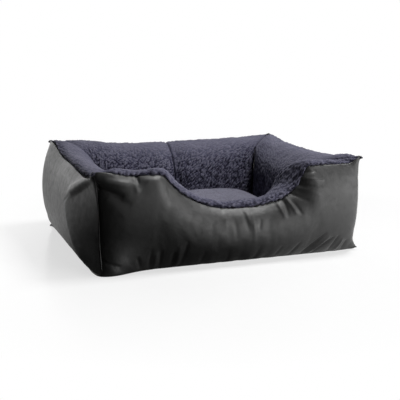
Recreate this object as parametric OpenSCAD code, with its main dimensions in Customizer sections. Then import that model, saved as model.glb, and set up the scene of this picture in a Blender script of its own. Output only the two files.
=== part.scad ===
// Rectangular bolster bed for a pet: four stuffed walls round a floor, a dipped front wall
// to step over, a plush lining, a loose cushion that lifts out, and two coil zips.
// Millimetres. +Z is up, the front faces -Y, and the origin is on the floor at the middle.

/* [Bed] */
// Length between the corner seams of the left and right walls
bed_l = 760; // [640:10:900]
// Depth between the corner seams of the front and back walls
bed_d = 600; // [500:10:760]
// Height of the rim seam along the walls
rim_h = 250; // [220:2:290]
// How much higher the back and side walls swell near the corners than in the middle
swell = 14; // [0:1:20]
// How far the corner points stand above the rim seam
corner_rise = 16; // [8:1:24]
// Largest bulge of an outer panel past the line of its corner seams
bulge = 36; // [16:1:40]
// Thickness of a wall where it meets the floor
wall_t = 124; // [110:1:140]

/* [Front dip] */
// Height of the rim seam at the bottom of the dip
dip_h = 147; // [120:1:190]
// Reach of the dip to the left of its middle
dip_left = 200; // [150:1:230]
// Reach of the dip to the right of its middle
dip_right = 212; // [150:1:230]
// Distance of the dip's middle to the right of the bed's middle
dip_shift = 6; // [-20:1:20]
// Reach of the rounding where the dip meets the level rim
shoulder = 14; // [8:1:30]

/* [Fabric] */
// Thickness of the coated outer fabric
fabric_t = 1.5; // [1:0.1:2]
// Thickness of the plush lining with its pile
plush_t = 6; // [4:0.5:8]
// Thickness of the wadding in the floor
wadding_t = 12; // [8:1:16]

/* [Cushion] */
// Gap between the cushion and the lining
cushion_gap = 9; // [7:0.5:12]
// Height of the cushion's crown above the floor lining
cushion_t = 112; // [80:1:116]
// Height of the cushion's side band
band_h = 30; // [26:1:36]
// Radius of the cushion's corners in plan
cushion_r = 42; // [30:1:60]

/* [Zips] */
// Length of the chain in the cover's zip
cover_zip_l = 560; // [400:10:600]
// Length of the chain in the cushion's zip
cushion_zip_l = 360; // [240:10:380]

/* [Hidden] */

clear = 2.2;              // gap left between a wall's filling and its skins
mitre_gap = 0.3;          // gap left on each side of a corner seam
corner_h = rim_h + corner_rise;
base_top = fabric_t + 0.5;
floor_z = base_top + wadding_t + 0.5 + 3;   // top of the floor lining
floor_inset = wall_t + 4.5;                 // floor lining and wadding to the corner-seam line
edge_inset = 9;                             // bottom edge of the outer panels, away from the corners
base_gap = 1;                               // base panel to the bottom edge of the outer panels

graphite = [0.17, 0.17, 0.18];
slate = [0.32, 0.32, 0.38];
slate_light = [0.47, 0.47, 0.53];
wadding_white = [0.9, 0.9, 0.87];
zip_black = [0.08, 0.08, 0.09];
zip_metal = [0.3, 0.3, 0.32];

// ---- curves --------------------------------------------------------------------------

function bezier(p, t) =
    pow(1 - t, 3) * p[0] + 3 * t * pow(1 - t, 2) * p[1] + 3 * t * t * (1 - t) * p[2] + pow(t, 3) * p[3];
function bezier_slope(p, t) =
    3 * pow(1 - t, 2) * (p[1] - p[0]) + 6 * t * (1 - t) * (p[2] - p[1]) + 3 * t * t * (p[3] - p[2]);
// The point d inside a cross-section's outline, which runs up the outside and down the inside.
function inward(p, t, d) =
    let (v = bezier_slope(p, t)) bezier(p, t) + d * [v.y, -v.x] / norm(v);
function mix(a, b, w) = [for (i = [0 : len(a) - 1]) a[i] * (1 - w) + b[i] * w];

// Cross-sections of a wall as [inset, height]: inset is measured inwards from the corner seams.
belly = bulge * 4 / 3 + 3;
crest_end = [wall_t - 20, rim_h - 44];       // where the crest's section meets the inner face's
outer_middle = [[edge_inset, 4], [-belly + 4, 50], [-belly, 190], [3, rim_h]];
outer_corner = [[0, 7], [24, 22], [24, corner_h - 14], [0, corner_h]];
zip_hem = [[2, 38], [-belly + 4, 84]];   // replaces the lower half of outer_middle above the zip
crest_middle = [[3, rim_h], [22, rim_h + 18], [wall_t - 46, rim_h + 11], crest_end];
crest_corner = [[0, corner_h], [30, corner_h - 14], [70, corner_h - 22], [88, corner_h - 27]];
lining_foot = base_top + 3;
inner_middle = [crest_end, [wall_t - 2, rim_h - 82], [wall_t + 6, 110], [wall_t, lining_foot]];
inner_corner = [[88, corner_h - 27], [100, corner_h - 33], [100, 110], [114, lining_foot]];

// How strongly a corner shapes a section at s, which runs from -1 to 1 along a wall.
function seam_weight(s) = pow(abs(s), 8);
function belly_weight(s) = pow(abs(s), 12);
function hem_weight(s) = pow(abs(s), 14);

// The dip's bowl as a share of its depth, at a millimetres along the wall.
function bowl(a) =
    let (q = min(1, max((dip_shift - a) / dip_left, (a - dip_shift) / dip_right)))
    pow(1 - q * q, 0.65);
// How much lower the front rim is at a: the bowl with its shoulders averaged round.
function dip(a) =
    let (taps = [for (k = [-4 : 4]) 1 - pow(k / 5, 2)],
         bowls = [for (k = [-4 : 4]) bowl(a + k / 4 * shoulder)],
         all = [for (t = taps) 1])
    (rim_h - dip_h) * (taps * bowls) / (taps * all);

// What tells one wall from another: [length, has a dip, has the zip, has a pinched middle seam].
front_wall = [bed_l, true, false, false];
right_wall = [bed_d, false, false, false];
back_wall = [bed_l, false, true, true];
left_wall = [bed_d, false, false, false];

// How much lower the wall's top is at s and at an inset from the corner seams.
function drop_at(wall, s, inset) =
    wall[1] ? dip(s * (wall[0] / 2 - inset)) : -swell * pow(abs(s), 3) * (1 - seam_weight(s));
// A section with its top moved down by that, and its foot left alone.
function lowered(wall, s, p) =
    [for (c = p) [c.x, c.y - drop_at(wall, s, c.x) * max(0, min(1, (c.y - floor_z) / (rim_h - floor_z)))]];
function pinch_at(wall, s) = wall[3] ? 9 * exp(-pow(s * wall[0] / 2 / 34, 2)) : 0;
function pinched(p, d) = [for (c = p) [c.x - d * min(1, c.x / 60), c.y - d * 0.3]];
function outer_at(wall, s) =
    let (w = belly_weight(s), v = seam_weight(s), h = hem_weight(s), m = outer_middle, c = outer_corner,
         foot = wall[2] ? mix(zip_hem[0], c[0], h) : mix(m[0], c[0], v),
         low = wall[2] ? mix(zip_hem[1], c[1], h) : mix(m[1], c[1], w))
    lowered(wall, s, [foot, low, mix(m[2], c[2], w), mix(m[3], c[3], v)]);
function crest_at(wall, s) =
    pinched(lowered(wall, s, mix(crest_middle, crest_corner, seam_weight(s))), pinch_at(wall, s));
function inner_at(wall, s) =
    pinched(lowered(wall, s, mix(inner_middle, inner_corner, seam_weight(s))), pinch_at(wall, s));

// From a wall's own section to space: the ends follow the 45 degree corner seams.
function placed(wall, s, p, gap = mitre_gap) = [s * (wall[0] / 2 - p.x - gap), p.x, p.y];

function steps(lo, hi, n) = [for (i = [0 : n]) lo + (hi - lo) * i / n];
// Places along a wall from lo to hi, closer together near the corners at -1 and 1.
function along(lo, hi, n) = [for (t = steps(lo, hi, n)) 0.6 * t + 0.4 * sin(90 * t)];

// ---- meshes --------------------------------------------------------------------------

// Triangles of a grid with r rows of c points, the first of them numbered k.
function grid_faces(r, c, k, flip) = [
    for (i = [0 : r - 2], j = [0 : c - 2], h = [0, 1])
        let (a = k + i * c + j, f = h == 0 ? [a, a + c, a + c + 1] : [a, a + c + 1, a + 1])
        flip ? [f[2], f[1], f[0]] : f
];
// Triangles that join the rim of one grid to the rim of another, which starts at k.
function rim_faces(r, c, k) =
    let (rim = concat(
        [for (j = [0 : c - 2]) j],
        [for (i = [0 : r - 2]) i * c + c - 1],
        [for (j = [c - 1 : -1 : 1]) (r - 1) * c + j],
        [for (i = [r - 1 : -1 : 1]) i * c]
    ), n = len(rim))
    [for (i = [0 : n - 1], h = [0, 1])
        let (a = rim[i], b = rim[(i + 1) % n]) h == 0 ? [a, b, k + b] : [a, k + b, k + a]];

// A sheet between two grids of points.
module sheet(face, back) {
    r = len(face);
    c = len(face[0]);
    points = concat([for (row = face) each row], [for (row = back) each row]);
    skins = concat(grid_faces(r, c, 0, false), grid_faces(r, c, r * c, true));
    polyhedron(points, concat(skins, rim_faces(r, c, r * c)));
}

// A solid through rings of points that all have the same number of corners.
module lofted(rings) {
    r = len(rings);
    c = len(rings[0]);
    sides = [for (i = [0 : r - 2], j = [0 : c - 1], h = [0, 1])
        let (a = i * c + j, b = i * c + (j + 1) % c) h == 0 ? [a, b, b + c] : [a, b + c, a + c]];
    polyhedron([for (ring = rings) each ring],
        concat(sides, [[for (j = [c - 1 : -1 : 0]) j], [for (j = [0 : c - 1]) (r - 1) * c + j]]));
}

// Turns a wall made along X with its outside towards -Y to its own side of the bed.
module on_side(side) {
    if (side == "front") translate([0, -bed_d / 2, 0]) children();
    if (side == "right") translate([bed_l / 2, 0, 0]) rotate(90) children();
    if (side == "back") translate([0, bed_d / 2, 0]) rotate(180) children();
    if (side == "left") translate([-bed_l / 2, 0, 0]) rotate(-90) children();
}

// ---- walls ---------------------------------------------------------------------------

outer_steps = steps(0, 0.985, 9);
crest_steps = steps(0.04, 1, 6);
inner_steps = steps(0.2, 1, 4);
// The lining thins towards the rim seam, where t is 0.
function lining_t(t) = plush_t * min(1, 0.3 + 3 * t);

module outer_panel(wall, n) {
    function row(s, d) = [for (t = outer_steps) placed(wall, s, inward(outer_at(wall, s), t, d))];
    places = along(-1, 1, n);
    color(graphite) sheet([for (s = places) row(s, 0)], [for (s = places) row(s, fabric_t)]);
}

module lining(wall, n, lo = -1, hi = 1) {
    function row(s, k) = concat(
        [for (t = crest_steps) placed(wall, s, inward(crest_at(wall, s), t, k * lining_t(t)))],
        [for (t = inner_steps) placed(wall, s, inward(inner_at(wall, s), t, k * plush_t))]);
    places = along(lo, hi, n);
    color(slate) sheet([for (s = places) row(s, 0)], [for (s = places) row(s, 1)]);
}

module filling(wall, n) {
    // The flat underside, from the lining's foot to the outer panel's foot.
    function foot(s) =
        let (inner = [inner_at(wall, s)[3].x - plush_t - clear - 3, base_top])
        wall[2] ? [inner, [13, base_top], [10, 41 - 32 * hem_weight(s)]]
                : [inner, [outer_at(wall, s)[0].x + 8, base_top]];
    function section(s) = concat(
        foot(s),
        [for (i = [1 : 8]) inward(outer_at(wall, s), outer_steps[i], fabric_t + clear)],
        [for (i = [1 : 6]) inward(crest_at(wall, s), crest_steps[i], plush_t + clear)],
        [for (t = [0.2, 0.4, 0.6, 0.8, 0.94]) inward(inner_at(wall, s), t, plush_t + clear)]);
    color(wadding_white) lofted([for (s = along(-1, 1, n)) [for (p = section(s)) placed(wall, s, p, clear)]]);
}

module back_hem_strip() {
    color(graphite) translate([-bed_l / 2 + 20, bed_d / 2 - 2 - fabric_t, base_top])
        cube([bed_l - 40, fabric_t, 11 - base_top]);
}

// ---- floor ---------------------------------------------------------------------------

module rounded_plate(l, d, r, t) {
    linear_extrude(t) union() {
        square([l - 2 * r, d], center = true);
        square([l, d - 2 * r], center = true);
        for (x = [-1, 1], y = [-1, 1]) translate([x * (l / 2 - r), y * (d / 2 - r)]) circle(r, $fn = 48);
    }
}

module base_panel() {
    // The sides run in a little from the corners, just inside the bottom edges of the outer panels.
    function inset(s) = edge_inset * (1 - seam_weight(s)) + base_gap;
    function side(wall) = [for (s = steps(-0.998, 0.96, 24)) placed(wall, s, [inset(s), 0])];
    function turned(p, a, x, y) = [p.x * cos(a) - p.y * sin(a) + x, p.x * sin(a) + p.y * cos(a) + y];
    color(graphite) linear_extrude(fabric_t) polygon(concat(
        [for (p = side(front_wall)) turned(p, 0, 0, -bed_d / 2)],
        [for (p = side(right_wall)) turned(p, 90, bed_l / 2, 0)],
        [for (p = side(front_wall)) turned(p, 180, 0, bed_d / 2)],
        [for (p = side(left_wall)) turned(p, 270, -bed_l / 2, 0)]));
}

module base_wadding() {
    color(wadding_white) translate([0, 0, base_top])
        rounded_plate(bed_l - 2 * floor_inset, bed_d - 2 * floor_inset, 12, wadding_t);
}

module floor_lining() {
    color(slate) translate([0, 0, floor_z - 3])
        rounded_plate(bed_l - 2 * floor_inset, bed_d - 2 * floor_inset, 12, 3);
}

// ---- zips: X along the chain, Y across it, Z out of the tape's face ----------------------

tape_w = 12;             // width of each tape
tape_t = 0.8;            // thickness of a tape
chain_gap = 1;           // gap between the two coils, which the slider's post runs in
coil_w = 1.9;            // width of each coil
coil_h = 1.7;            // height of each coil above the tape
wing_l = 12;             // length of a slider's wings
wing_w = 9.4;            // width of a slider's wings
wing_t = 1.3;            // thickness of a slider's wing
play = 0.2;              // running gap between the slider and the chain
pin_z = coil_h + play + wing_t + 1.8;    // height of the puller's pin above the tape
pin_r = 0.8;             // radius of the puller's pin
pin_gap = 0.07;          // radial clearance of the puller on its pin
lug_t = 1;               // thickness of each lug that holds the pin
barrel_l = 3.4;          // length of the puller's barrel
puller_l = 27;           // length of the puller from its pin
stop_l = 3;              // length of an end stop

module zip_tape(l, side) {
    color(zip_black) translate([-l / 2, side > 0 ? chain_gap / 2 : -chain_gap / 2 - tape_w, -tape_t])
        cube([l, tape_w, tape_t]);
}

module zip_coils(l) {
    color(zip_black) for (side = [-1, 1])
        translate([-l / 2, side * (chain_gap + coil_w) / 2 - coil_w / 2, 0]) cube([l, coil_w, coil_h]);
}

// Stops clamped over the chain at both ends: x is the end of the chain.
module zip_stops(l) {
    color(zip_metal) for (side = [-1, 1]) translate([side * (l / 2 + stop_l / 2 + 0.1), 0, coil_h / 2])
        cube([stop_l, chain_gap + 2 * coil_w, coil_h], center = true);
}

// A slider centred on x = 0: two wings, side lips that leave room for the tape, and a post.
module zip_slider(with_pin) {
    top = coil_h + play;
    under = -tape_t - play;
    lip_w = (wing_w - chain_gap - 2 * coil_w) / 2 - 2 * play;
    module wing(z) {
        translate([0, 0, z]) linear_extrude(wing_t) hull() {
            translate([-wing_l / 2 + 2, 0]) square([4, wing_w], center = true);
            for (y = [-1, 1]) translate([wing_l / 2 - 2, y * (wing_w / 2 - 2.4)]) circle(2, $fn = 32);
        }
    }
    color(zip_metal) union() {
        wing(top);
        wing(under - wing_t);
        for (side = [-1, 1]) translate([-wing_l / 2 + 4, side * (wing_w - lip_w) / 2, (top + play) / 2])
            cube([8, lip_w, top - play], center = true);
        translate([wing_l / 2 - 3, 0, (top + under) / 2])
            cube([3, chain_gap - 2 * play, top - under + 0.4], center = true);
        if (with_pin) {
            for (side = [-1, 1]) translate([-1.6, side * (barrel_l / 2 + 0.2 + lug_t / 2) - lug_t / 2, top])
                cube([3.2, lug_t, pin_z - top + 1.4]);
            translate([0, 0, pin_z]) rotate([90, 0, 0])
                cylinder(h = barrel_l + 0.4 + lug_t, r = pin_r, center = true, $fn = 48);
        }
    }
}

// A puller lying flat along +X from the slider's pin.
module zip_puller() {
    color(zip_metal) difference() {
        union() {
            translate([0, 0, pin_z]) rotate([90, 0, 0])
                cylinder(h = barrel_l, r = 1.65, center = true, $fn = 48);
            translate([0, -barrel_l / 2, pin_z - 0.6]) cube([6, barrel_l, 1.2]);
            translate([4.5, -3.2, pin_z - 0.6]) cube([puller_l - 7.7, 6.4, 1.2]);
            translate([puller_l - 3.2, 0, pin_z - 0.6]) cylinder(h = 1.2, r = 3.2, $fn = 48);
        }
        translate([0, 0, pin_z]) rotate([90, 0, 0])
            cylinder(h = barrel_l + 2, r = pin_r + pin_gap, center = true, $fn = 48);
        translate([puller_l - 4, 0, pin_z - 2]) cylinder(h = 4, r = 1.4, $fn = 48);
    }
}

// Stands a zip upright on the back of the bed, its chain's middle at that depth and height.
module on_back(y, z) {
    translate([0, y, z]) rotate([90, 0, 180]) children();
}

cover_zip_y = bed_d / 2 - 4.3;
cover_zip_z = 25;
cover_tape_l = cover_zip_l + 40;
cover_slider_x = cover_zip_l / 2 - 10;
cushion_slider_x = cushion_zip_l / 2 - 10;

module at_cover_zip(x = 0) { on_back(cover_zip_y, cover_zip_z) translate([-x, 0, 0]) children(); }

// ---- cushion -------------------------------------------------------------------------

cushion_l = bed_l - 2 * (wall_t + 4 + cushion_gap);
cushion_d = bed_d - 2 * (wall_t + 4 + cushion_gap);
cushion_z = floor_z + 0.5;
band_z = cushion_z + 22;                     // bottom of the side band
cushion_top_z = cushion_z + cushion_t;

// The plan outline of the cushion pulled in by d, clockwise from above, as n + 1 points a corner.
function outline(d, n = 7) = [
    for (q = [0 : 3], i = [0 : n])
        let (a = 90 * q + 90 * i / n, r = max(2, cushion_r - d),
             cx = (cushion_l / 2 - d - r) * (q == 0 || q == 3 ? 1 : -1),
             cy = (cushion_d / 2 - d - r) * (q < 2 ? 1 : -1))
        [cx + r * cos(a), -cy - r * sin(a)]
];
function ring_at(d, k, z) = [for (p = outline(d)) [p.x * k, p.y * k, z]];
// Height of the crown at k, the distance from the middle as a share of the way to the edge.
function crown(k, rise) = rise * pow(1 - pow(k, 3.4), 0.55);
crown_rings = [1, 0.993, 0.975, 0.94, 0.88, 0.78, 0.62, 0.42, 0.2];

module domed(d, low, rise, up) {
    rings = [for (k = crown_rings) ring_at(d, k, low + up * crown(k, rise))];
    upside_down = [for (i = [len(rings) - 1 : -1 : 0]) rings[i]];
    lofted(up > 0 ? concat([ring_at(d, 1, low - 4)], rings) : concat(upside_down, [ring_at(d, 1, low + 4)]));
}

module cushion_top_panel() {
    low = band_z + band_h + 0.3;
    color(slate_light) difference() {
        domed(0, low, cushion_top_z - low, 1);
        translate([-cushion_l, -cushion_d, low - 6]) cube([2 * cushion_l, 2 * cushion_d, 6]);
        domed(2.5, low - 2.5, cushion_top_z - low, 1);
    }
}

module cushion_base_panel() {
    high = band_z - 0.3;
    color(graphite) difference() {
        domed(0, high, high - cushion_z, -1);
        translate([-cushion_l, -cushion_d, high]) cube([2 * cushion_l, 2 * cushion_d, 6]);
        domed(fabric_t, high + fabric_t, high - cushion_z, -1);
    }
}

module cushion_filling() {
    color(wadding_white) union() {
        inset = 7;
        top_rise = cushion_top_z - band_z - band_h - 1.5;
        base_rise = band_z - cushion_z - 1.5;
        lofted(concat(
            [for (i = [len(crown_rings) - 1 : -1 : 0])
                ring_at(inset, crown_rings[i], band_z + 1 - crown(crown_rings[i], base_rise - 2))],
            [for (k = crown_rings) ring_at(inset, k, band_z + band_h - 2 + crown(k, top_rise - 2))]));
    }
}

cushion_zip_z = band_z + band_h / 2;
cushion_tape_l = cushion_zip_l + 24;
band_t = 2;

module cushion_side_band() {
    color(graphite) difference() {
        translate([0, 0, band_z]) rounded_plate(cushion_l, cushion_d, cushion_r, band_h);
        translate([0, 0, band_z - 1])
            rounded_plate(cushion_l - 2 * band_t, cushion_d - 2 * band_t, cushion_r - band_t, band_h + 2);
        translate([-cushion_tape_l / 2 - 1, cushion_d / 2 - 10, cushion_zip_z - tape_w - chain_gap / 2 - 0.3])
            cube([cushion_tape_l + 2, 20, 2 * tape_w + chain_gap + 0.6]);
    }
}

module at_cushion_zip(x = 0) { on_back(cushion_d / 2 - 0.6, cushion_zip_z) translate([-x, 0, 0]) children(); }

// ---- nodes ---------------------------------------------------------------------------

base_panel();
base_wadding();
floor_lining();

on_side("front") outer_panel(front_wall, 48);  // front_outer_panel
on_side("right") outer_panel(right_wall, 24);  // right_outer_panel
on_side("back") outer_panel(back_wall, 24);  // back_outer_panel
on_side("left") outer_panel(left_wall, 24);  // left_outer_panel
back_hem_strip();

on_side("front") lining(front_wall, 48);  // front_lining
on_side("right") lining(right_wall, 24);  // right_lining
on_side("back") lining(back_wall, 12, 0.003, 1);  // back_lining_left
on_side("back") lining(back_wall, 12, -1, -0.003);  // back_lining_right
on_side("left") lining(left_wall, 24);  // left_lining

on_side("front") filling(front_wall, 48);  // front_filling
on_side("right") filling(right_wall, 24);  // right_filling
on_side("back") filling(back_wall, 24);  // back_filling
on_side("left") filling(left_wall, 24);  // left_filling

at_cover_zip() zip_tape(cover_tape_l, 1);  // cover_zip_tape_upper
at_cover_zip() zip_tape(cover_tape_l, -1);  // cover_zip_tape_lower
at_cover_zip() zip_coils(cover_zip_l);  // cover_zip_coils
at_cover_zip() zip_stops(cover_zip_l);  // cover_zip_stops
at_cover_zip(cover_slider_x) zip_slider(true);  // cover_zip_slider
at_cover_zip(cover_slider_x) zip_puller();  // cover_zip_puller

cushion_top_panel();
cushion_side_band();
cushion_base_panel();
cushion_filling();
at_cushion_zip() {  // cushion_zip_tapes
    zip_tape(cushion_tape_l, 1);
    zip_tape(cushion_tape_l, -1);
}
at_cushion_zip() zip_coils(cushion_zip_l);  // cushion_zip_coils
at_cushion_zip() zip_stops(cushion_zip_l);  // cushion_zip_stops
at_cushion_zip(cushion_slider_x) zip_slider(false);  // cushion_zip_slider
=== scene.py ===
import math

import bmesh
import bpy
import numpy as np
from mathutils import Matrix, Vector, noise


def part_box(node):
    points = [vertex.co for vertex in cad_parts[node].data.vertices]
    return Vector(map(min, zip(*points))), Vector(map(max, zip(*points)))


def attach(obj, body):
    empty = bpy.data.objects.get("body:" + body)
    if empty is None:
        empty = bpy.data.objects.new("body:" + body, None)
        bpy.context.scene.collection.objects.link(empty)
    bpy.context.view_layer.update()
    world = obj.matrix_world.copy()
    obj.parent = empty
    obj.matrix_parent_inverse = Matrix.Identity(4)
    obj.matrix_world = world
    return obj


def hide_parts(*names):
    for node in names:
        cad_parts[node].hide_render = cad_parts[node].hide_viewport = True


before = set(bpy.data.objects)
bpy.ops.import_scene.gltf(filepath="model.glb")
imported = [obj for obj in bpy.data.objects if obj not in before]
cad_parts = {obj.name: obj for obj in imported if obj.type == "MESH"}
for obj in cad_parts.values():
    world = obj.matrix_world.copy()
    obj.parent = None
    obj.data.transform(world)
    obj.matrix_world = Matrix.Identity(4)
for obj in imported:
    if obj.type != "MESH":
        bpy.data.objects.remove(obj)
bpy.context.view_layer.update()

SCENE = bpy.context.scene
MM = 0.001

# ---- sizes, from the frame ----

# Each CAD panel stops this far short of its corners. The rim's corners stand above its level run.
MITRE_GAP = 0.3 * MM
CORNER_RISE = 16 * MM
CORNER_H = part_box("front_outer_panel")[1].z
RIM_H = CORNER_H - CORNER_RISE
LENGTH = 2 * (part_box("front_outer_panel")[1].x + MITRE_GAP)
DEPTH = 2 * (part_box("right_outer_panel")[1].y + MITRE_GAP)
FLOOR_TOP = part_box("floor_lining")[1].z

UP = np.array([0, 0, 1.0])
LEVEL = (1, 1, 0)

# ---- small helpers ----


def run_along(points):
    """How far along a line of points each of them lies."""
    return np.concatenate([[0], np.cumsum(np.linalg.norm(np.diff(points, axis=0), axis=1))])


def smooth(x):
    """0 below 0, 1 above 1, and a soft step between."""
    x = np.clip(x, 0, 1)
    return x * x * (3 - 2 * x)


def hump(x, middle, width):
    """1 at the middle, and close to 0 two widths away."""
    return np.exp(-(((x - middle) / width) ** 2))


def bezier(p, t):
    """Points at t of one cubic curve per row of p, which is (rows, 4, 2)."""
    t = np.asarray(t)[None, :, None]
    a, b, c, d = (p[:, i, None, :] for i in range(4))
    return (1 - t) ** 3 * a + 3 * t * (1 - t) ** 2 * b + 3 * t * t * (1 - t) * c + t**3 * d


def respaced(curves, shares):
    """Each row of curves, (rows, points, 2), sampled again at the same shares of its length."""
    out = np.empty((len(curves), len(shares), 2))
    for i, curve in enumerate(curves):
        run = run_along(curve)
        for axis in (0, 1):
            out[i, :, axis] = np.interp(shares * run[-1], run, curve[:, axis])
    return out


def mixed(a, b, w):
    """Section a turned into section b by the weight w of each row; w may differ between points."""
    w = np.asarray(w)
    w = w[:, None, None] if w.ndim == 1 else w[:, :, None]
    return np.asarray(a) * (1 - w) + np.asarray(b) * w


def lumps(places, size, seed=0):
    """Soft noise from -1 to 1 at an array of places, with lumps of about that size in metres."""
    places = np.asarray(places, float)
    flat = places.reshape(-1, places.shape[-1])
    if flat.shape[1] == 2:
        flat = np.column_stack([flat, np.zeros(len(flat))])
    flat = flat / size + (17.3 * seed, 5.1 * seed, 9.7 * seed)
    return np.array([noise.noise(p) for p in flat.tolist()]).reshape(places.shape[:-1])


# ---- walls ----

# Each corner: the height of its point, and how far that sticks out. Then the part of each of its
# walls, by s, where the rim seam climbs to it, how far the corner seam is drawn in low down and high
# up, and where the seam's foot is, inwards and up.
CORNERS = {
    "front_left": {
        "height": CORNER_H, "ear": 0.0, "drawn": (26 * MM, 26 * MM), "foot": (15 * MM, 2 * MM),
        "climb": {"front": (0.72, 0.97), "left": (0.90, 1.0)},
    },
    "front_right": {
        "height": CORNER_H + 3 * MM, "ear": 3 * MM, "drawn": (26 * MM, 10 * MM), "foot": (0.0, 9 * MM),
        "climb": {"front": (0.90, 1.0), "right": (0.62, 1.0)},
    },
    "back_right": {
        "height": CORNER_H + 2 * MM, "ear": 0.0, "drawn": (24 * MM, 24 * MM), "foot": (0.0, 14 * MM),
        "climb": {"right": (0.55, 1.0), "back": (0.7, 1.2)},
    },
    "back_left": {
        "height": CORNER_H + 10 * MM, "ear": 0.0, "drawn": (24 * MM, 24 * MM), "foot": (-7 * MM, 2 * MM),
        "climb": {"back": (0.3, 1.4), "left": (0.2, 0.9)},
    },
}
# Each wall runs from its first corner, at s = -1, to its second, at s = 1.
WALLS = {
    "front": {"length": LENGTH, "turn": 0, "at": (0, -DEPTH / 2), "ends": ("front_left", "front_right")},
    "right": {"length": DEPTH, "turn": 90, "at": (LENGTH / 2, 0), "ends": ("front_right", "back_right")},
    "back": {"length": LENGTH, "turn": 180, "at": (0, DEPTH / 2), "ends": ("back_right", "back_left")},
    "left": {"length": DEPTH, "turn": 270, "at": (-LENGTH / 2, 0), "ends": ("back_left", "front_left")},
}
# How far each wall's rim seam sags in its middle.
SAG = {"front": 0.0, "right": 10 * MM, "back": 4 * MM, "left": 2 * MM}

# The dip in the front rim: the height of its lowest point, where along the wall that is, how far its
# two slopes reach, how far its edges are softened, and where the plush starts to spread outwards.
DIP_H = 148 * MM
DIP_MIDDLE = 6 * MM
DIP_LEFT = 200 * MM
DIP_RIGHT = 202 * MM
SHOULDER = 14 * MM
DIP_SPREAD = 120 * MM

# Sections of the walls as Bezier points, inwards and up. First the outer panels, away from the corners.
OUTER_FOOT = {"front": [[9, 2], [-47, 50]], "back": [[2, 38], [-47, 84]], "left": [[1, 2], [-47, 50]]}
OUTER_FOOT["right"] = OUTER_FOOT["front"]
OUTER_MIDDLE = {wall: np.array([*foot, [-51, 190], [3, 250]]) * MM for wall, foot in OUTER_FOOT.items()}
# Near its left end the front panel hangs over: its stuffing has settled high up.
OUTER_TOP_HEAVY = np.array([[9, 2], [-20, 50], [-52, 212], [3, 250]]) * MM
# The lining over the crest and down the inside, away from the corners and at them.
CREST_MIDDLE = np.array([[8, 250], [-22, 263], [60, 283], [104, 206]]) * MM
CREST_CORNER = np.array([[0, 250], [24, 240], [66, 232], [88, 223]]) * MM
INNER_MIDDLE = np.array([[104, 206], [122, 168], [130, 110], [124, 5]]) * MM
INNER_CORNER = np.array([[88, 223], [100, 216], [100, 110], [114, 5]]) * MM


def dip(along):
    """How much lower the front rim is at each place along it. The left slope is the softer one."""
    taps = np.linspace(-1, 1, 9)
    weights = 1 - (0.8 * taps) ** 2
    total = 0
    for tap, weight in zip(taps, weights):
        off = along + tap * SHOULDER - DIP_MIDDLE
        left, right = np.clip(-off / DIP_LEFT, 0, 1), np.clip(off / DIP_RIGHT, 0, 1)
        total = total + weight * (1 - left**2) ** 0.75 * (1 - right**3) ** 0.5
    return (RIM_H - DIP_H) * total / weights.sum()


def climb(wall, s):
    """How far the rim seam stands above its level run at each s."""
    total = np.zeros_like(s)
    for side, corner in zip((-1, 1), WALLS[wall]["ends"]):
        start, stop = CORNERS[corner]["climb"][wall]
        rise = CORNERS[corner]["height"] - RIM_H
        climbed = smooth((np.abs(s) - start) / (stop - start)) / smooth((1 - start) / (stop - start))
        total += np.where(s * side > 0, rise * climbed, 0)
    return total


def rim_drop(wall, s, depth=0.0):
    """How much the level run is lowered: the dip in front, a little sag elsewhere.

    Further back in the wall, by depth, the right slope of the dip lies further out.
    """
    drop = SAG[wall] * (1 - s * s) ** 1.5
    if wall == "front":
        along = s * LENGTH / 2
        drop = drop + dip(along - depth * smooth(along / DIP_SPREAD))
    return drop


def lowered(p, drop, lift):
    """Sections with their tops moved down by drop, (rows, points), and up by lift. Feet stay put."""
    share = np.clip((p[:, :, 1] - FLOOR_TOP) / (RIM_H - FLOOR_TOP), 0, 1)
    p = p.copy()
    p[:, :, 1] += share * (lift[:, None] - drop)
    return p


def seam_sag(wall, s):
    """How much lower the rim seam alone lies where the plush reaches further down the outside."""
    return 11 * MM * hump(s, 0.6, 0.34) if wall == "left" else 0 * s


# How late a panel's belly falls away before its first and second corner, low down and high up.
BELLY_RUN = {
    "front": ((5, 12), (6, 12)),
    "right": ((5, 10), (5, 10)),
    "back": ((12, 12), (12, 12)),
    "left": ((12, 9), (12, 9)),
}


def corner_section(wall, s):
    """The section at the corner seam that each place of a wall is nearer to, as Bezier points."""
    sections = []
    for corner in (CORNERS[name] for name in WALLS[wall]["ends"]):
        low, high = corner["drawn"]
        sections.append([corner["foot"], (low, 22 * MM), (high, 238 * MM), (-corner["ear"], RIM_H)])
    return np.where(s[:, None, None] < 0, *np.array(sections))


def outer_section(wall, s):
    """The outer panel's section at each s, as Bezier points. All feet but the back one are wavy."""
    edge = np.abs(s)
    belly, shoulder = (np.where(s < 0, edge**first, edge**second) for first, second in BELLY_RUN[wall])
    seam, hem = edge**8, edge**14
    middle = mixed(OUTER_MIDDLE[wall], OUTER_TOP_HEAVY, smooth((-s - 0.15) / 0.5) * (wall == "front"))
    weights = np.stack([hem, hem if wall == "back" else belly, shoulder, seam], 1)
    p = mixed(middle, corner_section(wall, s), weights)
    along = s * WALLS[wall]["length"] / 2
    waves = lumps(np.stack([along, 0 * along], 1), 26 * MM, list(WALLS).index(wall)) * (1 - hem)
    if wall == "front":
        waves = waves * smooth((s + 0.8) / 0.5)
    if wall != "back":
        p[:, 0] += waves[:, None] * (1 * MM, 1.5 * MM)
    return lowered(p, (rim_drop(wall, s) + seam_sag(wall, s))[:, None], climb(wall, s))


def pinch(wall, s):
    """How far the seam in the middle of the back wall draws the lining in."""
    return 10 * MM * hump(s * LENGTH / 2, 0, 34 * MM) if wall == "back" else 0 * s


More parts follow.
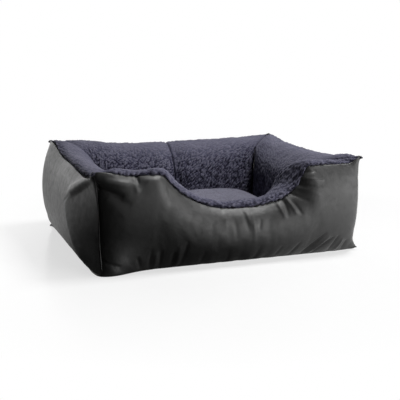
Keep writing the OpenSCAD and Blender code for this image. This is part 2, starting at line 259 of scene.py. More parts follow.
def lining_section(wall, s, steps=60):
    """The lining's section at each s as points, from the rim seam over the crest and down."""
    w = np.abs(s) ** 10
    draw = pinch(wall, s)
    halves = []
    for middle, corner, depths in (
        (CREST_MIDDLE, CREST_CORNER, (0, 4 * MM, 14 * MM, 22 * MM)),
        (INNER_MIDDLE, INNER_CORNER, (22 * MM,) * 4),
    ):
        p = mixed(middle, corner, w)
        if not halves:
            p[:, 0, 0] += w * corner_section(wall, s)[:, 3, 0]
        p = lowered(p, np.stack([rim_drop(wall, s, depth) for depth in depths], 1), climb(wall, s))
        p[:, :, 0] -= draw[:, None] * np.clip(p[:, :, 0] / (60 * MM), 0, 1)
        p[:, :, 1] -= draw[:, None] * 0.3
        if not halves:
            p[:, 0, 1] -= seam_sag(wall, s)
        halves.append(bezier(p, np.linspace(0, 1, steps)))
    return np.concatenate([halves[0], halves[1][:, 1:]], 1)


def ways(wall):
    """Unit vectors along a wall and inwards from it, in the bed's frame."""
    turn = math.radians(WALLS[wall]["turn"])
    return np.array([math.cos(turn), math.sin(turn), 0]), np.array([-math.sin(turn), math.cos(turn), 0])


def placed(wall, s, sections):
    """From a wall's sections, (rows, points, 2), to space. The ends follow the corner seams."""
    along, inwards = ways(wall)
    u, z = sections[:, :, 0], sections[:, :, 1]
    x = s[:, None] * (WALLS[wall]["length"] / 2 - u)
    at = np.array([*WALLS[wall]["at"], 0])
    return at + x[:, :, None] * along + u[:, :, None] * inwards + z[:, :, None] * UP


# ---- meshes ----


def linked(name, data):
    """A new object in the scene."""
    obj = bpy.data.objects.new(name, data)
    SCENE.collection.objects.link(obj)
    return obj


def make_mesh(name, points, faces, uvs=None, pile=None):
    """A smooth mesh object. The pile shade, if given, goes from 0 in a pit to 1 on a curl's tip: painted
    shade in the pits between the curls and a painted highlight on their tips.
    """
    mesh = bpy.data.meshes.new(name)
    faces = faces.tolist() if isinstance(faces, np.ndarray) else faces
    mesh.from_pydata(np.asarray(points).reshape(-1, 3).tolist(), [], faces)
    if uvs is not None:
        layer = mesh.uv_layers.new(name="cloth")
        corner = np.empty(len(mesh.loops), np.int32)
        mesh.loops.foreach_get("vertex_index", corner)
        layer.data.foreach_set("uv", np.asarray(uvs).reshape(-1, 2)[corner].ravel())
    if pile is not None:
        mesh.attributes.new("pile", "FLOAT", "POINT").data.foreach_set("value", np.ravel(pile))
    mesh.polygons.foreach_set("use_smooth", np.ones(len(mesh.polygons), bool))
    mesh.update()
    return linked(name, mesh)


def grid_faces(rows, cols, flip=False, wrap=False):
    """Quads of a grid. With wrap, the last row joins the first."""
    i, j = np.meshgrid(np.arange(rows if wrap else rows - 1), np.arange(cols - 1), indexing="ij")
    a, b = (i * cols + j).ravel(), ((i + 1) % rows * cols + j).ravel()
    quads = np.stack([a, b, b + 1, a + 1], 1)
    return quads[:, ::-1] if flip else quads


def cloth_uvs(points):
    """Lengths along both directions of a grid of points, in metres."""
    steps_j = np.linalg.norm(np.diff(points, axis=1), axis=2)
    run_j = np.concatenate([np.zeros((len(points), 1)), np.cumsum(steps_j, 1)], 1)
    run_i = run_along(points[:, points.shape[1] // 2])
    return np.stack([np.repeat(run_i[:, None], points.shape[1], 1), run_j], 2)


def normals(points):
    """Unit normals of a grid of points, on the side that grid_faces turns outwards."""
    n = np.cross(np.gradient(points, axis=0), np.gradient(points, axis=1))
    return n / np.maximum(np.linalg.norm(n, axis=2, keepdims=True), 1e-12)


def thickened(obj, thickness):
    """Gives a sheet its thickness, away from its outer side."""
    solid = obj.modifiers.new("thickness", "SOLIDIFY")
    solid.thickness = thickness
    solid.offset = -1
    solid.use_even_offset = False
    return obj


def finished(obj, body, slot, mat, *nodes):
    """What every piece gets: its material, its body, and the nodes that it stands for. The slot is not used.
    """
    obj.data.materials.append(mat)
    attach(obj, body)
    if nodes:
        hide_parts(*nodes)
    return obj


# ---- cloth ----

SIM_FRAMES = 22
SIM_STEP = 5.6 * MM
SIM_SETTINGS = {
    "quality": 6,
    "mass": 0.25,
    "tension_stiffness": 18,
    "compression_stiffness": 18,
    "shear_stiffness": 9,
    "bending_stiffness": 0.35,
    "air_damping": 2,
    "vertex_group_mass": "sewn",
    "use_pressure": True,
    "uniform_pressure_force": 3.0,
}


def hang_cloth(name, points, sewn, ease):
    """A grid of cloth, sewn down where sewn is true, that is about to swell by ease."""
    obj = make_mesh(name, points, grid_faces(*points.shape[:2]))
    group = obj.vertex_groups.new(name="sewn")
    group.add(np.flatnonzero(sewn.ravel()).tolist(), 1, "REPLACE")
    cloth = obj.modifiers.new("cloth", "CLOTH")
    cloth.point_cache.frame_start = 1
    cloth.point_cache.frame_end = SIM_FRAMES
    for key, value in SIM_SETTINGS.items():
        setattr(cloth.settings, key, value)
    cloth.settings.shrink_min = -ease
    cloth.settings.effector_weights.gravity = 0
    return obj


def swollen(cloths):
    """Runs all the cloths at once and gives how far each point of each moved."""
    for step in range(1, SIM_FRAMES + 1):
        SCENE.frame_set(step)
    graph = bpy.context.evaluated_depsgraph_get()
    moves = []
    for obj, points in cloths:
        co = np.empty(points.size)
        obj.evaluated_get(graph).data.vertices.foreach_get("co", co)
        moves.append(co.reshape(points.shape) - points)
        bpy.data.objects.remove(obj)
    SCENE.frame_set(1)
    return moves


def blurred(field, radius):
    """A grid of vectors averaged along both axes with a soft window of that radius in cells."""
    taps = np.arange(-2 * radius, 2 * radius + 1)
    weights = np.exp(-((taps / radius) ** 2))
    for axis in (0, 1):
        count = field.shape[axis]
        total, share = 0, 0
        for tap, weight in zip(taps, weights):
            at = np.clip(np.arange(count) + tap, 0, count - 1)
            total = total + weight * np.take(field, at, axis)
            share += weight
        field = total / share
    return field


def refined(field):
    """A grid with twice as many cells each way, smoothed as a cubic spline is."""
    for axis in (0, 1):
        field = np.moveaxis(field, axis, 0)
        out = np.empty((2 * len(field) - 1, *field.shape[1:]))
        out[1::2] = (field[1:] + field[:-1]) / 2
        out[::2] = field
        out[2:-1:2] = (field[:-2] + 6 * field[1:-1] + field[2:]) / 8
        field = np.moveaxis(out, 0, axis)
    return field


def wrinkles(move, swelling=5, sewn_reach=3):
    """The short waves of a cloth's move, without its broad swelling. Both reaches are in cells."""
    rows, cols = move.shape[:2]
    i, j = np.meshgrid(np.arange(rows), np.arange(cols), indexing="ij")
    from_edge = np.minimum(np.minimum(i, rows - 1 - i), np.minimum(j, cols - 1 - j))
    return move - blurred(move, swelling) * smooth(from_edge / sewn_reach)[:, :, None]


def creased(wall, points):
    """The left wall falls back to the front corner's seam below a crease that runs down from its point."""
    if wall != "left":
        return np.zeros(points.shape)
    _, inwards = ways(wall)
    y, z = points[:, :, 1], points[:, :, 2]
    corner, crease_end, crease_foot = -DEPTH / 2, -100 * MM, 164 * MM
    start = crease_end - 120 * MM * np.clip((crease_foot - z) / crease_foot, 0, 1)
    share = np.clip((start - y) / (start - corner), 0, 1)
    along = np.clip((crease_end - y) / (crease_end - corner), 0, 1)
    crease = crease_foot + (CORNER_H - 8 * MM - crease_foot) * along
    below = smooth((crease - z) / (20 * MM) + 0.4)
    depth = points @ inwards
    back = (depth[-1:] - depth) * below * share**1.3
    cap = 5 * MM * hump(z, crease + 14 * MM, 15 * MM) * smooth(along / 0.25) * (1 - along**6)
    return inwards * (back - cap)[:, :, None]


# Folds sewn or pressed into the covers. Each runs between two points of the panel, given along the
# wall and up from the floor, with a half width and a height, all in mm. A negative height is a valley.
# FOLD_GAIN scales all the heights.
FOLD_GAIN = 0.6
FOLDS = {
    "front": [
        # the cap under the rim at the left corner, the fold below it, and the notch that ends it
        (-368, 246, -285, 230, 14, 12), (-392, 232, -310, 204, 14, -17), (-330, 200, -290, 184, 14, -5),
        (-266, 262, -264, 234, 5, -7), (-250, 238, -208, 237, 13, 6), (-276, 232, -268, 214, 8, 4),
        # down the left slope of the dip
        (-176, 214, -128, 168, 8, 1.5), (-152, 196, -112, 150, 7, -2), (-120, 158, -86, 132, 8, 2),
        (-190, 222, -176, 186, 7, -2),
        # under the middle of the dip
        (20, 142, 30, 92, 7, -2.5), (44, 132, 46, 62, 7, 3), (66, 118, 60, 92, 6, -3),
        (30, 138, 38, 108, 5, 2), (-30, 140, -34, 100, 9, 1.5), (-8, 126, -4, 74, 8, -2),
        # fanned out from the right slope of the dip
        (170, 196, 236, 176, 5, 4), (176, 206, 246, 196, 5, -4), (182, 218, 252, 212, 5, 4),
        (188, 232, 236, 238, 6, -5), (156, 182, 216, 156, 5, -3.5), (140, 168, 148, 128, 5, -5),
        (152, 164, 172, 126, 5, 4), (166, 158, 186, 126, 4, -4), (126, 152, 138, 118, 6, 4),
        # gathered along the bottom edge
        (-262, 10, -268, 40, 6, -5), (-236, 10, -232, 56, 6, -6), (-222, 8, -218, 44, 6, 5),
        (-208, 8, -206, 52, 6, -6), (-176, 8, -172, 48, 6, -6), (-150, 8, -140, 74, 6, -6),
        (-162, 8, -158, 60, 6, 5), (-96, 8, -92, 40, 7, -3), (-20, 8, -26, 44, 8, -3),
        (60, 8, 66, 46, 8, -3), (120, 8, 132, 40, 7, -4), (166, 8, 186, 44, 6, -6),
        (206, 8, 262, 62, 6, -11), (222, 6, 276, 54, 5, 8), (240, 6, 290, 48, 5, -10),
        (290, 8, 306, 50, 6, -8), (330, 8, 338, 36, 7, -6), (308, 8, 322, 40, 5, 7),
        # at the foot of the left corner
        (-368, 40, -318, 24, 5, -4), (-352, 70, -366, 48, 6, 3),
    ],
    "right": [
        (-230, 210, -262, 236, 7, -4), (-120, 8, -112, 46, 8, -4), (40, 8, 46, 52, 8, -4),
        (170, 8, 180, 50, 8, -4), (90, 232, 96, 200, 8, -4), (-60, 236, -56, 206, 8, -4),
    ],
    "back": [],
    "left": [
        (110, 196, 250, 250, 6, 2), (96, 160, 140, 186, 6, -4),
        (-250, 8, -262, 60, 9, -6), (-276, 16, -284, 52, 7, 6),
    ],
}


def pressed(points, wall):
    """How far the folds of a wall's cover stand out from its surface."""
    along, _ = ways(wall)
    places = np.stack([points @ along, points[:, :, 2]], 2) / MM
    total = np.zeros(points.shape[:2])
    for x0, z0, x1, z1, half, height in FOLDS[wall]:
        a, b = np.array([x0, z0]), np.array([x1, z1])
        run = b - a
        share = ((places - a) @ run) / (run @ run)
        off = np.linalg.norm(places - (a + np.clip(share, 0, 1)[:, :, None] * run), axis=2)
        fade = smooth(1.15 - np.abs(share - 0.5) * 1.3)
        total += height * fade / (1 + (off / half) ** 2) ** 2
    return FOLD_GAIN * total * MM


# ---- covers ----

COVER_T = 1.2 * MM
ALLOWANCE = 7 * MM
# How much each panel swells in the simulation, and how much of its wrinkles is kept.
EASE = {"front": 0.05, "right": 0.045, "back": 0.04, "left": 0.035}
GAIN = {"front": 0.16, "right": 0.5, "back": 0.5, "left": 0.06}
COVER_ROWS = 49
# How far the stuffing has slumped forward at the front left foot, how wide that is, and how high.
SLUMP, SLUMP_WIDTH, SLUMP_HEIGHT = 31 * MM, 70 * MM, 100 * MM
SLUMP_MIDDLE = -LENGTH / 2 + 34 * MM


def toward_ends(count):
    """Places from -1 to 1, closer together near the ends."""
    t = np.linspace(-1, 1, count)
    return 0.7 * t + 0.3 * np.sin(t * math.pi / 2)


def cover_points(wall, s, shares):
    """A cover's surface at each s and each share of the way up its section."""
    section = respaced(bezier(outer_section(wall, s), np.linspace(0, 1, 80)), shares)
    return placed(wall, s, section)


def slumped(points):
    """Points of the walls moved to where the stuffing has slumped forward at the front left foot."""
    x, y, z = (points[..., axis] for axis in range(3))
    near = hump(x, SLUMP_MIDDLE, SLUMP_WIDTH) * hump(y, -DEPTH / 2, SLUMP_WIDTH)
    moved = points.copy()
    moved[..., 1] -= SLUMP * near * smooth(1 - z / SLUMP_HEIGHT)
    return moved


def with_allowance(points, wall):
    """A cover's grid with its edges turned in, which closes the seams behind the surface."""
    along, inwards = ways(wall)
    first = points[:1] + ALLOWANCE * (along + inwards)
    last = points[-1:] + ALLOWANCE * (inwards - along)
    points = np.concatenate([first, points, last])
    foot = points[:, :1] + ALLOWANCE * inwards
    foot[:, :, 2] = np.maximum(np.minimum(foot[:, :, 2], points[:, :1, 2]) - 1.2 * MM, 1.3 * MM)
    top = points[:, -1:] + 6 * MM * inwards - np.array([0, 0, 3 * MM])
    return np.concatenate([foot, points, top], 1)


def build_covers(mat):
    """The four outer panels: their surface, the wrinkles of a cloth simulation, and their folds."""
    grids = {}
    for wall in WALLS:
        s = toward_ends(int(WALLS[wall]["length"] / SIM_STEP) // 2 * 2 + 1)
        grids[wall] = (s, cover_points(wall, s, np.linspace(0, 1, COVER_ROWS)))
    moves = {wall: np.zeros_like(points) for wall, (_, points) in grids.items()}
    cloths = []
    for wall, (_, points) in grids.items():
        sewn = np.zeros(points.shape[:2], bool)
        sewn[[0, -1]] = True
        sewn[:, [0, -1]] = True
        cloths.append((hang_cloth(f"{wall}_run", points, sewn, EASE[wall]), points))
    for wall, move in zip(WALLS, swollen(cloths)):
        moves[wall] = wrinkles(move)
    for wall, (s, _) in grids.items():
        fine_s = np.interp(np.linspace(0, 1, 2 * len(s) - 1), np.linspace(0, 1, len(s)), s)
        points = cover_points(wall, fine_s, np.linspace(0, 1, 2 * COVER_ROWS - 1))
        points = slumped(points + creased(wall, points))
        out = normals(points)
        points = points + GAIN[wall] * refined(moves[wall]) + out * pressed(points, wall)[:, :, None]
        points[:, :, 2] = np.maximum(points[:, :, 2], 1.4 * MM)
        points = with_allowance(points, wall)
        obj = make_mesh(f"{wall}_cover", points, grid_faces(*points.shape[:2]), cloth_uvs(points))
        finished(thickened(obj, COVER_T), "bed", "coated_fabric", mat, f"{wall}_outer_panel")


# ---- plush ----

# The scattered curls repeat after this many cells.
TUFT_CELLS = 97


def tufts(places, size, lean, stretch, seed):
    """Heights from 0 to 1 of curls scattered over places, in metres, drawn out along lean."""
    turn = math.radians(lean)
    x, y = places[..., 0], places[..., 1]
    along = (x * math.cos(turn) + y * math.sin(turn)) / (size * stretch)
    across = (y * math.cos(turn) - x * math.sin(turn)) / size
    q = np.stack([along, across], -1)
    cell = np.floor(q).astype(int)
    table = np.random.default_rng(seed).random((TUFT_CELLS, TUFT_CELLS, 4))
    height = np.zeros(places.shape[:-1])
    for di in (-1, 0, 1):
        for dj in (-1, 0, 1):
            near = cell + np.array([di, dj])
            draw = table[near[..., 0] % TUFT_CELLS, near[..., 1] % TUFT_CELLS]
            off = q - near - 0.15 - 0.7 * draw[..., :2]
            twist = draw[..., 2] - 0.5
            a = off[..., 0] * np.cos(twist) + off[..., 1] * np.sin(twist)
            b = off[..., 1] * np.cos(twist) - off[..., 0] * np.sin(twist)
            reach = 0.72 + 0.34 * draw[..., 3]
            dome = np.maximum(0, 1 - (a * a + 1.5 * b * b) / reach**2)
            height = np.maximum(height, np.sqrt(dome) * (0.62 + 0.38 * draw[..., 3]))
    return height


def curled(places, size, lean, seed, stretch=1.5):
    """Curls of two sizes laid over each other, from 0 in the pits to 1 on the tips."""
    height = 0.85 * tufts(places, size, lean, stretch, seed)
    height = height + 0.15 * tufts(places, 1.8 * size, lean, stretch, seed + 9)
    return np.clip((height - 0.52) / 0.38, 0, 1)


# For each lining: its wall, its node, the s where it starts and stops, the size of its cells.
LININGS = {
    "front_plush": ("front", "front_lining", -1.0, 1.0, 1.75 * MM),
    "right_plush": ("right", "right_lining", -1.0, 1.0, 1.75 * MM),
    "left_plush": ("left", "left_lining", -1.0, 1.0, 1.75 * MM),
    "back_plush_right": ("back", "back_lining_right", -1.0, -0.0008, 1.7 * MM),
    "back_plush_left": ("back", "back_lining_left", 0.0008, 1.0, 1.7 * MM),
}
LINING_T = 2.0 * MM


# The curls of each wall's lining: their width in mm, how much longer than wide they are, which way
# they lean in degrees, their height in mm with what is added at the rim and on the face, and the painted
# shade in the pits between them, from 0 to 1, with what is added at the rim, on the face and low down.
PILES = {
    "front": (5.0, 1.3, 40, (3.0, 1.4, 0), (0.6, 0.3, 0, 0)),
    "right": (4.4, 1.8, -35, (1.2, 1.8, 0), (0.28, 0.52, 0.4, 0.35)),
    "back": (3.9, 2.2, 42, (1.4, 1.2, 2.2), (0.28, 0.52, 0.5, 0.35)),
    "left": (4.8, 1.5, 25, (1.2, 2.2, 0), (0.28, 0.52, 0.35, 0.35)),
}


def curl_height(wall, down):
    """How tall the curls are, in metres, at each distance down from the rim seam."""
    base, rim, face = PILES[wall][3]
    near_rim = 1 - smooth((down - 14 * MM) / (30 * MM))
    on_face = smooth((down - 60 * MM) / (60 * MM))
    return (base + face * on_face + rim * near_rim) * MM


def pit_shade(wall, down):
    """How much painted shade darkens the pits between the curls, below their tips, from 0 to 1."""
    base, rim, face, low = PILES[wall][4]
    near_rim = 1 - smooth((down - 16 * MM) / (26 * MM))
    on_face = smooth((down - 60 * MM) / (80 * MM))
    # Painted shade: the pits darker low down in the bed, where its shadow falls.
    low_down = smooth((down - 120 * MM) / (70 * MM))
    return np.minimum(base + rim * near_rim + face * on_face + low * low_down, 1)


def build_lining(name, mat):
    """One plush lining with its curls. Its ends are turned in, which closes the seams behind it."""
    wall, node, low, high, cell = LININGS[name]
    length = WALLS[wall]["length"] * (high - low) / 2
    s = np.linspace(low, high, int(length / cell) + 1)
    if low == -1 and high == 1:
        s = toward_ends(len(s))
    section = lining_section(wall, s)
    run = np.linalg.norm(np.diff(section[len(s) // 2], axis=0), axis=1).sum()
    section = respaced(section, np.linspace(0, 1, int(run / cell) + 1))
    points = placed(wall, s, section)
    uv = cloth_uvs(points)
    out = normals(points)
    seed = list(LININGS).index(name) + 1
    soft = 2.2 * MM * lumps(points, 55 * MM, seed) + 1.1 * MM * lumps(points, 24 * MM, seed)
    down = uv[:, :, 1]
    size, stretch, lean = PILES[wall][:3]
    curls = curled(uv, size * MM, lean, seed, stretch)
    sewn = np.minimum(np.abs(s - low), np.abs(high - s)) * WALLS[wall]["length"] / 2
    fade = smooth(sewn / (9 * MM))[:, None]
    rise = soft * fade + curl_height(wall, down) * (curls - 0.5) * (0.15 + 0.85 * fade)
    rise = rise - 2.5 * MM * (1 - fade) ** 2
    rise[:, 0] = np.minimum(rise[:, 0], 0)
    points = points + out * rise[:, :, None]
    turned = (4 + 9 * smooth((down[:, :, None] - 100 * MM) / (50 * MM))) * MM * out
    points = np.concatenate([points[:1] - turned[:1], points, points[-1:] - turned[-1:]])
    # Painted shade: darker pits between the curls, the lining darker towards its sewn ends, where the seam's
    # valley is shaded, and its turned-in ends darkest.
    pile = (1 - (1 - curls) * pit_shade(wall, down)) * (0.4 + 0.6 * fade)
    pile = np.concatenate([0 * pile[:1], pile, 0 * pile[-1:]])
    uv = np.concatenate([uv[:1], uv, uv[-1:]])
    obj = make_mesh(name, points, grid_faces(*points.shape[:2]), uv, pile)
    return finished(thickened(obj, LINING_T), "bed", "plush", mat, node)


# ---- fillings and floor ----

FILLING_INSET = 16 * MM


def build_filling(wall, mat):
    """The loose fibre in a wall: a closed lumpy bolster inside its cover and lining."""
    s = np.concatenate([[-1], np.linspace(-0.86, 0.86, 86), [1]])
    outer = placed(wall, s, bezier(outer_section(wall, s), np.linspace(0.04, 0.97, 26)))
    inner = placed(wall, s, lining_section(wall, s)[:, 8:-6:4])
    ring = slumped(np.concatenate([outer + creased(wall, outer), inner], 1)[1:-1])
    centre = ring.mean(1, keepdims=True)
    out = ring - centre
    reach = np.linalg.norm(out, axis=2, keepdims=True)
    inset = FILLING_INSET + 2.5 * MM * (1 - lumps(ring, 30 * MM, 3)[:, :, None])
    ring = centre + out * np.maximum(0.2, 1 - inset / reach)
    ring[:, :, 2] = np.maximum(ring[:, :, 2], 3.5 * MM)
    points = ring.reshape(-1, 3)
    count = ring.shape[1]
    first, last = np.arange(count), (len(ring) - 1) * count + np.arange(count)
    faces = [*tube_faces(len(ring), count), first.tolist(), last[::-1].tolist()]
    obj = make_mesh(f"{wall}_fibre", points, faces)
    finished(obj, "bed", "wadding", mat, f"{wall}_filling")


def build_base(mat):
    """The sewn underside: a sheet that meets the covers' bottom edges, and dips behind the zip."""
    rim = np.concatenate([cover_points(wall, toward_ends(121), np.array([0.0]))[:-1, 0] for wall in WALLS])
    rim = slumped(rim)
    zip_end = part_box("cover_zip_tape_lower")[1].x
    past_zip = np.where(rim[:, 1] > DEPTH / 2 - 20 * MM, smooth((np.abs(rim[:, 0]) - zip_end) / (8 * MM)), 1)
    rim[:, 2] = 2 * MM + (rim[:, 2] - 2 * MM) * past_zip
    shares = np.concatenate([np.linspace(1, 0.9, 9), np.linspace(0.87, 0.07, 24)])
    rings = rim[:, None] * shares[None, :, None]
    gathers = lumps(rings * LEVEL, 14 * MM, 5) * smooth((shares - 0.9) / 0.1)
    waves = 0.5 * MM * (1 + lumps(rings * LEVEL, 60 * MM, 6))
    level = 0.7 * MM + waves + 0.6 * MM * (1 + gathers)
    share = smooth((shares - 0.965) / 0.035)[None, :]
    rings[:, :, 2] = level * (1 - share) + np.maximum(rim[:, None, 2] - 1.0 * MM, 1.0 * MM) * share
    centre = np.array([[0, 0, 1.2 * MM]])
    points = np.concatenate([rings.reshape(-1, 3), centre])
    faces = grid_faces(*rings.shape[:2], wrap=True).tolist()
    count, middle = rings.shape[1], len(points) - 1
    for i in range(len(rings)):
        faces.append([i * count + count - 1, (i + 1) % len(rings) * count + count - 1, middle])
    obj = make_mesh("base_cloth", points, [face[::-1] for face in faces], points[:, :2])
    finished(thickened(obj, COVER_T), "bed", "coated_fabric", mat, "base_panel")


def rounded_outline(half_x, half_y, radius, count=40):
    """A rectangle with round corners, as count points a quarter, all round."""
    points = []
    for quarter, (sx, sy) in enumerate([(1, 1), (-1, 1), (-1, -1), (1, -1)]):
        corner = np.array([sx * (half_x - radius), sy * (half_y - radius)])
        for i in range(count):
            angle = math.pi / 2 * (quarter + (i + 0.5) / count)
            points.append(corner + radius * np.array([math.cos(angle), math.sin(angle)]))
    points.append(points[0])
    points = np.array(points)
    run = run_along(points)
    even = np.linspace(0, run[-1], 10 * count, endpoint=False)
    return np.stack([np.interp(even, run, points[:, axis]) for axis in (0, 1)], 1)


def ringed(outline, shares, heights):
    """Rings of an outline drawn in to each share of its size, each at its height."""
    rings = np.zeros((len(outline), len(shares), 3))
    rings[:, :, :2] = outline[:, None] * np.asarray(shares)[None, :, None]
    rings[:, :, 2] = heights
    return rings


def ring_mesh(name, rings, close_first, close_last, pile=None):
    """A mesh of rings, (round, rings, 3), with its first or last ring closed to a point."""
    count, turns = rings.shape[1], len(rings)
    points = rings.reshape(-1, 3)
    faces = grid_faces(turns, count, wrap=True).tolist()
    extra = []
    for index, close in ((0, close_first), (count - 1, close_last)):
        if not close:
            continue
        middle = len(points) + len(extra)
        extra.append(rings[:, index].mean(0))
        for i in range(turns):
            a, b = i * count + index, (i + 1) % turns * count + index
            faces.append([a, middle, b] if index == 0 else [a, b, middle])
    if extra:
        points = np.concatenate([points, extra])
    if pile is not None:
        pile = np.concatenate([np.ravel(pile), np.full(len(extra), 0.6)])
    return make_mesh(name, points, faces, points[:, :2], pile)


def pad_rings(node, radius, puff):
    """Rings of a soft flat pad that fills a CAD plate's box, from the middle below to the middle above."""
    low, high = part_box(node)
    outline = rounded_outline(high.x - 1 * MM, high.y - 1 * MM, radius)
    thick = high.z - low.z
    inwards = np.linspace(0.985, 0.06, 40)
    shares = np.concatenate([np.linspace(0.06, 0.985, 40), [0.995, 1.0, 1.0, 0.995], inwards])
    rings = ringed(outline, shares, 0)
    edge = np.concatenate([np.zeros(40), [0.12, 0.35, 0.65, 0.88], np.ones(40)])
    rings[:, :, 2] = low.z + thick * edge
    soft = lumps(rings, 28 * MM, 4) * puff
    rings[:, 40:, 2] -= np.abs(soft[:, 40:]) * (edge[40:] > 0.5)
    return rings


def build_floor(fibre, plush):
    """The floor's wadding and, over it, its plush lining with curls on its upper side only."""
    rings = pad_rings("base_wadding", 12 * MM, 1.2 * MM)
    wad = finished(ring_mesh("floor_fibre", rings, True, True), "bed", "wadding", fibre, "base_wadding")
    rings = pad_rings("floor_lining", 12 * MM, 0.3 * MM)
    above = np.zeros(rings.shape[1])
    above[46:] = 1
    # The curls' heights also set the floor plush's painted shade in the pits and painted highlight on the
    # tips.
    curls = curled(rings[:, :, :2], 6.2 * MM, 20, 11)
    rings[:, :, 2] += 1.6 * MM * (curls - 1) * above
    finished(ring_mesh("floor_plush", rings, True, True, pile=curls), "bed", "plush", plush, "floor_lining")


# ---- cushion ----

BAND_LOW, BAND_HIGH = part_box("cushion_side_band")
CUSHION_OUTLINE = rounded_outline(BAND_HIGH.x, BAND_HIGH.y, 42 * MM)
# How far the hems of the cushion's top and base are drawn in behind its band.
CUSHION_HEM = (0.99, 0.985, 1)


def crown(share):
    """The height of a stuffed cushion's face, 1 in its middle and 0 at its edge, by share of its size."""
    return (1 - share**3.4) ** 0.55


def build_cushion_top(mat):
    """The fleece top: crowned, a little uneven, and gathered where it is sewn to the band."""
    low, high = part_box("cushion_top_panel")
    shares = 1 - np.linspace(0, 0.95, 90) ** 1.5
    rings = ringed(CUSHION_OUTLINE, shares, low.z + (high.z - low.z + 4 * MM) * crown(shares))
    middle = smooth((1 - shares) / 0.25)[None, :]
    edge = hump(shares, 0.975, 0.03)[None, :]
    flat = rings * LEVEL
    rings[:, :, 2] += (3.5 * MM * lumps(flat, 120 * MM, 2) - 1.5 * MM) * middle
    rings[:, :, 2] += 1.4 * MM * lumps(flat, 11 * MM, 3) * edge
    # The curls' heights also set the painted shade in their pits and the painted highlight on their tips.
    curls = curled(rings[:, :, :2], 3.4 * MM, 30, 12)
    rings[:, :, 2] += 0.5 * MM * (curls - 1) * (0.3 + 0.7 * middle)
    hem = rings[:, :1] * CUSHION_HEM - 2.5 * MM * UP
    rings = np.concatenate([hem, rings], 1)
    curls = np.concatenate([curls[:, :1], curls], 1)
    obj = thickened(ring_mesh("cushion_top", rings, False, True, pile=curls), 2.0 * MM)
    finished(obj, "cushion", "fleece", mat, "cushion_top_panel")


def build_cushion_base(mat):
    """The cushion's nylon underside, crowned downwards and gathered at its edge."""
    low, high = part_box("cushion_base_panel")
    shares = 1 - np.linspace(0, 0.95, 70) ** 1.5
    rings = ringed(CUSHION_OUTLINE, shares, high.z - (high.z - low.z) * crown(shares))
    gathers = lumps(rings * LEVEL, 13 * MM, 8) * hump(shares, 0.975, 0.03)[None, :]
    rings[:, :, 2] += 1.2 * MM * gathers + 0.8 * MM * smooth((1 - shares) / 0.25)
    hem = rings[:, :1] * CUSHION_HEM + 2.5 * MM * UP
    rings = np.concatenate([rings[:, ::-1], hem], 1)
    obj = thickened(ring_mesh("cushion_base", rings, True, False), 1.2 * MM)
    finished(obj, "cushion", "coated_fabric", mat, "cushion_base_panel")


def build_cushion_fibre(mat):
    """The cushion's loose fibre: one closed lumpy body inside its cover."""
    low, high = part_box("cushion_filling")
    inset = (BAND_HIGH.y - 9 * MM) / BAND_HIGH.y
    below, above = 1 - np.linspace(0.94, 0, 30) ** 1.5, 1 - np.linspace(0, 0.94, 30) ** 1.5
    under = BAND_LOW.z - (BAND_LOW.z - low.z - 3 * MM) * crown(below)
    over = BAND_HIGH.z + (high.z - BAND_HIGH.z - 6 * MM) * crown(above)
    shares = inset * np.concatenate([below, above])
    rings = ringed(CUSHION_OUTLINE, shares, np.concatenate([under, over]))
    rings += 1.5 * MM * lumps(rings, 26 * MM, 9)[:, :, None]
    obj = ring_mesh("cushion_fibre", rings, True, True)
    finished(obj, "cushion", "wadding", mat, "cushion_filling")


def build_cushion_band(mat):
    """The band round the cushion, with a window at the back for the zip's tapes."""
    tapes_low, tapes_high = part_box("cushion_zip_tapes")
    half = tapes_high.x + 0.4 * MM
    window = np.linspace(tapes_low.z + 0.4 * MM, tapes_high.z - 0.4 * MM, 13)
    heights = np.concatenate([[BAND_LOW.z], window, [BAND_HIGH.z]])
    outline = CUSHION_OUTLINE.copy()
    at_back = outline[:, 1] > BAND_HIGH.y - 0.01 * MM
    for side in (-1, 1):
        near = np.argmin(np.abs(outline[:, 0] - side * half) + 9 * ~at_back)
        outline[near, 0] = side * half
    rings = ringed(outline, np.ones(len(heights)), heights)
    share = (heights - BAND_LOW.z) / (BAND_HIGH.z - BAND_LOW.z)
    by_zip = smooth((half + 12 * MM - np.abs(outline[:, 0])) / (10 * MM)) * at_back
    round_out = np.sin(share * math.pi)[None, :] * (1 - by_zip)[:, None]
    gathers = 0.7 * MM * lumps(rings * (1, 1, 0.15), 12 * MM, 7) * (1 - 0.6 * np.sin(share * math.pi))
    out = np.column_stack([outline, 0 * outline[:, 0]]) / np.linalg.norm(outline, axis=1)[:, None]
    swell = 1.6 * MM * round_out + gathers * np.where(at_back, 0.2, 1)[:, None]
    rings += out[:, None] * swell[:, :, None]
    count, turns = len(heights), len(rings)
    faces = []
    for a in range(turns):
        b = (a + 1) % turns
        in_window = at_back[a] and at_back[b] and abs(outline[[a, b], 0].mean()) < half
        for j in range(count - 1):
            if not (in_window and 0 < j < count - 2):
                faces.append([a * count + j, b * count + j, b * count + j + 1, a * count + j + 1])
    uv = np.stack([np.arange(turns)[:, None] * 4 * MM + 0 * heights, rings[:, :, 2]], 2)
    obj = thickened(make_mesh("cushion_band", rings, faces, uv), 1.2 * MM)
    finished(obj, "cushion", "coated_fabric", mat, "cushion_side_band")


# ---- zips and stitches ----


def tube_faces(rows, sides):
    """Quads of a tube of rows rings with that many sides."""
    faces = []
    for i in range(rows - 1):
        for j in range(sides):
            a, b = i * sides + j, i * sides + (j + 1) % sides
            faces.append([a, a + sides, b + sides, b])
    return faces


